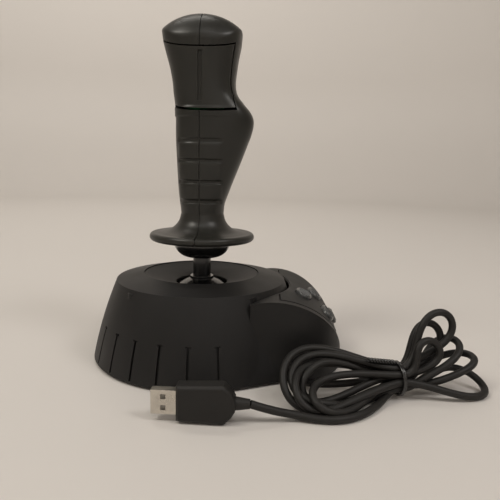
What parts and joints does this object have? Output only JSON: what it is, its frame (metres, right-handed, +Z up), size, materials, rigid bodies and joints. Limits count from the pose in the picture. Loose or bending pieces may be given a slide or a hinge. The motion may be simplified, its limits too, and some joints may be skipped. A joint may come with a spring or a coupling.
{
  "type": "flight joystick",
  "caption": "Desktop flight joystick: gimballed twisting grip with a wide trigger over a round weighted base with a side button pod, and a tied cable with its plug.",
  "frame": {"origin": "on the surface that the base stands on, under the stick's own axis", "axes": "+Z up along the resting stick, +X towards the button pod on the user's left, +Y towards the user"},
  "size_m": [0.2372, 0.1741, 0.2095],
  "materials": {
    "base_black": "fine-grained satin moulded plastic",
    "grip_plastic": "smooth satin moulded plastic, slightly lighter than the base",
    "gloss_black": "glossy black plastic",
    "button_grey": "glossy dark grey plastic",
    "panel_dark": "matt dark plastic",
    "rubber": "matt black rubber",
    "cord_jacket": "soft satin cable jacket",
    "plug_metal": "bright plated steel",
    "plug_insert_white": "white moulded insulator",
    "steel": "zinc plated steel",
    "spring_steel": "drawn spring wire",
    "board_green": "solder-masked circuit board",
    "inner_plastic": "unpainted engineering plastic",
    "sensor_blue": "moulded sensor housing"
  },
  "bodies": {
    "base": {"base_shell": "base_black", "recess_dish": "base_black", "base_plate": "base_black", "rubber_feet": "rubber", "base_screws": "steel", "ballast_ring": "steel", "main_board": "board_green", "pod_panel": "panel_dark", "pod_switch_board": "board_green", "pod_switches": "inner_plastic", "throttle_pin": "steel", "throttle_sensor": "sensor_blue", "gimbal_frame": "inner_plastic", "pitch_sensor": "sensor_blue", "pitch_spring": "spring_steel", "cable_gland": "cord_jacket", "cable_lead": "cord_jacket", "cable_hank": "cord_jacket", "cable_tie": "gloss_black", "cable_tail": "cord_jacket", "plug_body": "cord_jacket", "plug_shell": "plug_metal", "plug_insert": "plug_insert_white", "plug_strain_relief": "cord_jacket"},
    "gimbal": {"gimbal_ring": "inner_plastic", "pitch_pins": "steel", "roll_sensor": "sensor_blue", "roll_spring": "spring_steel"},
    "stick": {"shaft": "gloss_black", "cradle": "inner_plastic", "roll_pin": "steel", "dome_cover": "gloss_black", "lower_hub": "gloss_black"},
    "grip": {"handle_shell_left": "grip_plastic", "handle_shell_right": "grip_plastic", "handle_screws": "steel", "twist_bush": "inner_plastic", "twist_sensor": "sensor_blue", "trigger_pin": "steel", "trigger_switch": "inner_plastic", "trigger_spring": "spring_steel", "head_board": "board_green", "thumb_panel": "panel_dark"},
    "trigger": {"trigger": "grip_plastic"},
    "hat_rocker": {"hat_rocker": "steel"},
    "hat_cap": {"hat_cap": "gloss_black"},
    "thumb_button_left": {"thumb_button_left": "button_grey"},
    "thumb_button_right": {"thumb_button_right": "button_grey"},
    "throttle": {"throttle_lever": "button_grey"},
    "pod_button_1": {"pod_button_1": "button_grey"},
    "pod_button_2": {"pod_button_2": "button_grey"},
    "pod_button_3": {"pod_button_3": "button_grey"},
    "pod_button_4": {"pod_button_4": "button_grey"}
  },
  "joints": [
    {"name": "stick_pitch", "type": "hinge", "parent": "base", "child": "gimbal", "pos_m": [0, 0, 0.024], "axis": [1, 0, 0], "range_deg": [-14, 14], "stiffness_Nm_per_rad": 2},
    {"name": "stick_roll", "type": "hinge", "parent": "gimbal", "child": "stick", "pos_m": [0, 0, 0.024], "axis": [0, 1, 0], "range_deg": [-14, 14], "stiffness_Nm_per_rad": 2},
    {"name": "grip_twist", "type": "hinge", "parent": "stick", "child": "grip", "pos_m": [0, 0, 0.085], "axis": [0, 0, 1], "range_deg": [-15, 15], "stiffness_Nm_per_rad": 0.4},
    {"name": "trigger_pull", "type": "hinge", "parent": "grip", "child": "trigger", "pos_m": [0, -0.004, 0.182], "axis": [1, 0, 0], "range_deg": [0, 3.8], "stiffness_Nm_per_rad": 0.2, "deforming": ["trigger_spring"]},
    {"name": "hat_pitch", "type": "hinge", "parent": "grip", "child": "hat_rocker", "pos_m": [0, 0.00916, 0.19606], "axis": [1, 0, 0], "range_deg": [-5.5, 5.5], "stiffness_Nm_per_rad": 0.05},
    {"name": "hat_roll", "type": "hinge", "parent": "hat_rocker", "child": "hat_cap", "pos_m": [0, 0.00916, 0.19606], "axis": [0, 0.8192, -0.5736], "range_deg": [-5.5, 5.5], "stiffness_Nm_per_rad": 0.05},
    {"name": "thumb_left_press", "type": "slide", "parent": "grip", "child": "thumb_button_left", "axis": [0, -0.5736, -0.8192], "range_m": [0, 0.0012], "stiffness_N_per_m": 400},
    {"name": "thumb_right_press", "type": "slide", "parent": "grip", "child": "thumb_button_right", "axis": [0, -0.5736, -0.8192], "range_m": [0, 0.0012], "stiffness_N_per_m": 400},
    {"name": "throttle_swing", "type": "hinge", "parent": "base", "child": "throttle", "pos_m": [0, 0.04, 0.027], "axis": [1, 0, 0], "range_deg": [-14, 14]},
    {"name": "pod_press_1", "type": "slide", "parent": "base", "child": "pod_button_1", "axis": [-0.4226, 0, -0.9063], "range_m": [0, 0.0012], "stiffness_N_per_m": 400},
    {"name": "pod_press_2", "type": "slide", "parent": "base", "child": "pod_button_2", "axis": [-0.6088, 0, -0.7934], "range_m": [0, 0.0012], "stiffness_N_per_m": 400},
    {"name": "pod_press_3", "type": "slide", "parent": "base", "child": "pod_button_3", "axis": [-0.766, 0, -0.6428], "range_m": [0, 0.0012], "stiffness_N_per_m": 400},
    {"name": "pod_press_4", "type": "slide", "parent": "base", "child": "pod_button_4", "axis": [-0.887, 0, -0.4617], "range_m": [0, 0.0012], "stiffness_N_per_m": 400}
  ]
}
